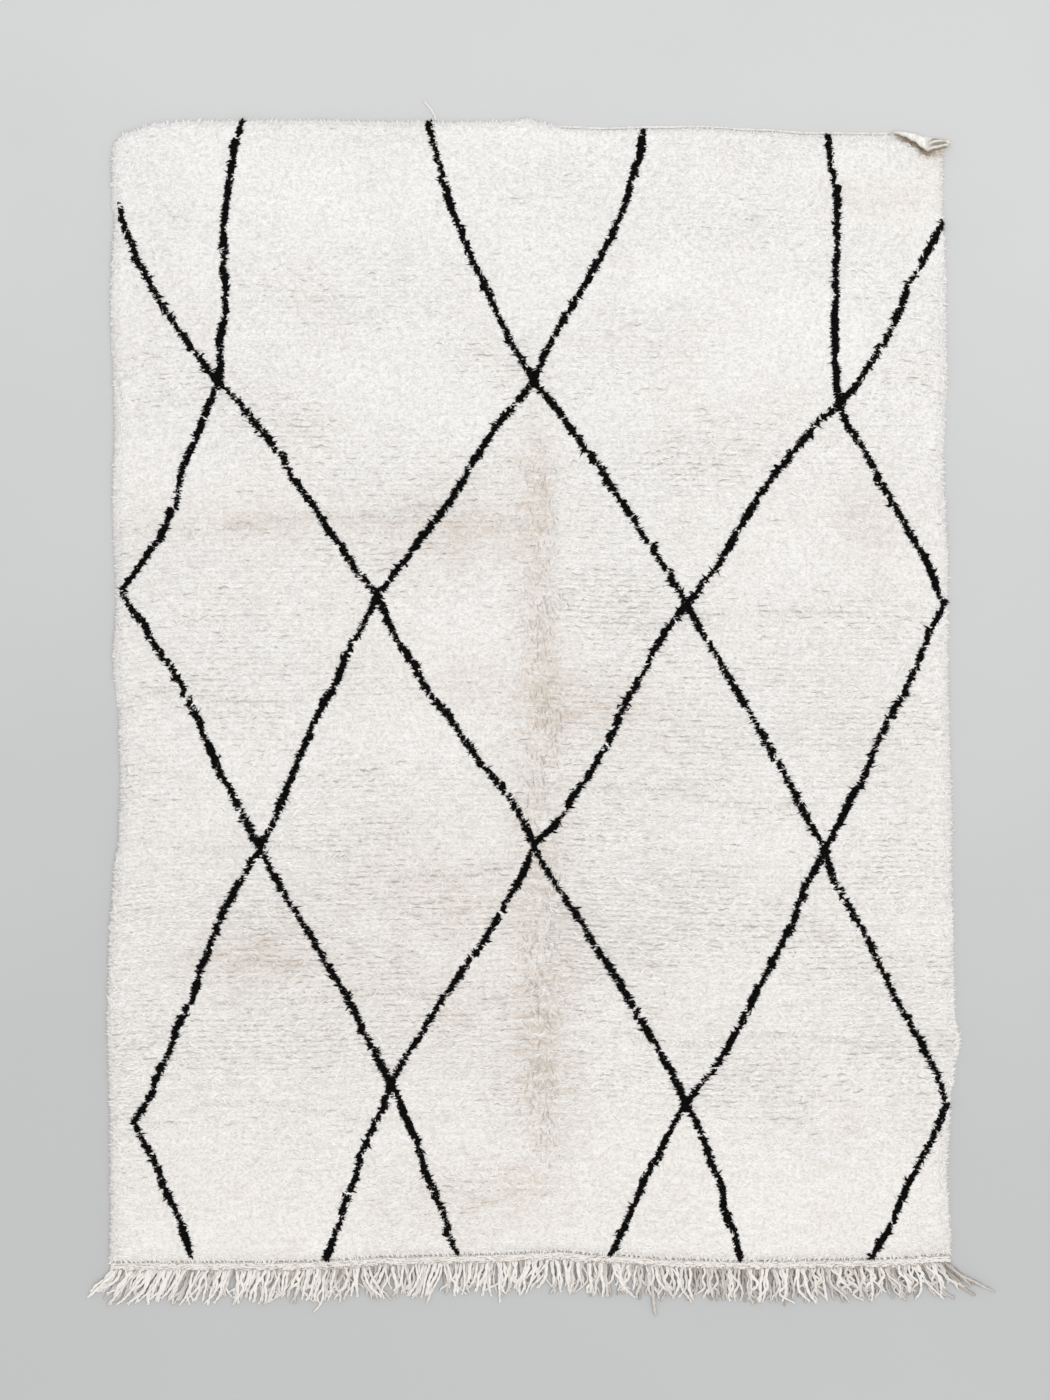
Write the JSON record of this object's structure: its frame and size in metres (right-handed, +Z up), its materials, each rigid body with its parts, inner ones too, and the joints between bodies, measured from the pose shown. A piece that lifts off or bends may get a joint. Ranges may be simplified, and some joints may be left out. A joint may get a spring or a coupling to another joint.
{
  "type": "wool pile rug",
  "caption": "Flat hand-knotted cream wool pile rug with a black diamond lattice, a woven end turned up at one corner and a warp fringe at the other end.",
  "frame": {"origin": "bottom centre of the whole rug, on the floor, fringe included", "axes": "+X to the right across the rug, +Y along the rug away from the fringe, +Z up out of the pile"},
  "size_m": [1.5906, 2.1742, 0.0251],
  "materials": {
    "pile": "matt hand-spun wool pile, cream with black knots in a lattice",
    "warp": "matt plied wool yarn, natural white",
    "woven_end": "matt flat-woven wool, natural white"
  },
  "bodies": {
    "root": {"rug": "pile", "fringe": "warp", "top_band": "woven_end", "loose_end": "warp"}
  },
  "joints": []
}
